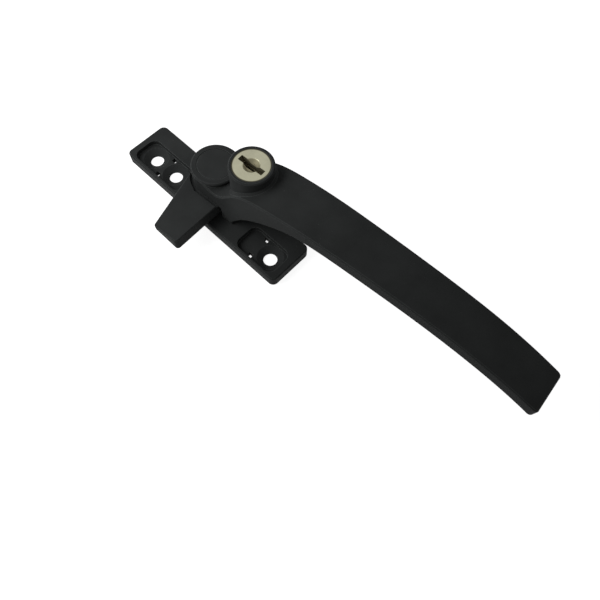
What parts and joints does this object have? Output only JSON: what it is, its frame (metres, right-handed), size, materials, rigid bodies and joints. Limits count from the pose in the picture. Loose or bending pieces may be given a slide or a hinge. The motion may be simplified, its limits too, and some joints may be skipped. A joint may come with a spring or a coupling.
{
  "type": "cam handle",
  "caption": "Locking cam handle for a hinged window: slim base plate, turning lever with a bowed grip, tapered cam nose and a keyed plug",
  "frame": {"origin": "where the lever's pivot axis meets the back face of the base plate", "axes": "+X along the plate and the closed lever, +Y away from the cam nose, +Z away from the window"},
  "size_m": [0.1687, 0.0459, 0.0339],
  "materials": {
    "black_coat": "satin black powder coat",
    "black_cap": "satin black plastic",
    "nickel": "nickel plate",
    "steel": "zinc plated steel",
    "brass": "plain brass",
    "nylon": "black nylon"
  },
  "bodies": {
    "base": {"base_plate": "black_coat", "pivot_stud": "steel", "plate_washer": "nylon", "wave_washer": "steel", "keep_disc": "steel", "stud_screw": "steel"},
    "handle": {"lever": "black_coat", "cam_nose": "black_coat", "cover_cap": "black_cap", "bolt_cover": "steel"},
    "plug": {"lock_plug": "nickel", "scroll_cam": "steel", "cam_screw": "steel", "wafer_spring_1": "steel", "wafer_spring_2": "steel", "wafer_spring_3": "steel", "wafer_spring_4": "steel", "wafer_spring_5": "steel"},
    "bolt": {"lock_bolt": "steel"},
    "wafer_1": {"wafer_1": "brass"},
    "wafer_2": {"wafer_2": "brass"},
    "wafer_3": {"wafer_3": "brass"},
    "wafer_4": {"wafer_4": "brass"},
    "wafer_5": {"wafer_5": "brass"}
  },
  "joints": [
    {"name": "handle_turn", "type": "hinge", "parent": "base", "child": "handle", "pos_m": [0, 0, 0.0105], "axis": [0, 0, 1], "range_deg": [0, 90]},
    {"name": "plug_turn", "type": "hinge", "parent": "handle", "child": "plug", "pos_m": [0.01845, 0.00129, 0.0265], "axis": [0, 0, 1], "range_deg": [0, 90]},
    {"name": "bolt_slide", "type": "slide", "parent": "handle", "child": "bolt", "axis": [-0.9976, -0.0698, 0], "range_m": [0, 0.0014]},
    {"name": "wafer_1_slide", "type": "slide", "parent": "plug", "child": "wafer_1", "axis": [0.9976, 0.0698, 0], "range_m": [0, 0.0005], "stiffness_N_per_m": 40, "springref_m": 0.0003},
    {"name": "wafer_2_slide", "type": "slide", "parent": "plug", "child": "wafer_2", "axis": [0.9976, 0.0698, 0], "range_m": [0, 0.0005], "stiffness_N_per_m": 40, "springref_m": 0.0003},
    {"name": "wafer_3_slide", "type": "slide", "parent": "plug", "child": "wafer_3", "axis": [0.9976, 0.0698, 0], "range_m": [0, 0.0005], "stiffness_N_per_m": 40, "springref_m": 0.0003},
    {"name": "wafer_4_slide", "type": "slide", "parent": "plug", "child": "wafer_4", "axis": [0.9976, 0.0698, 0], "range_m": [0, 0.0005], "stiffness_N_per_m": 40, "springref_m": 0.0003},
    {"name": "wafer_5_slide", "type": "slide", "parent": "plug", "child": "wafer_5", "axis": [0.9976, 0.0698, 0], "range_m": [0, 0.0005], "stiffness_N_per_m": 40, "springref_m": 0.0003}
  ],
  "couplings": [
    {"joint": "bolt_slide", "follows": "plug_turn", "m_per_rad": 0.00089127}
  ]
}
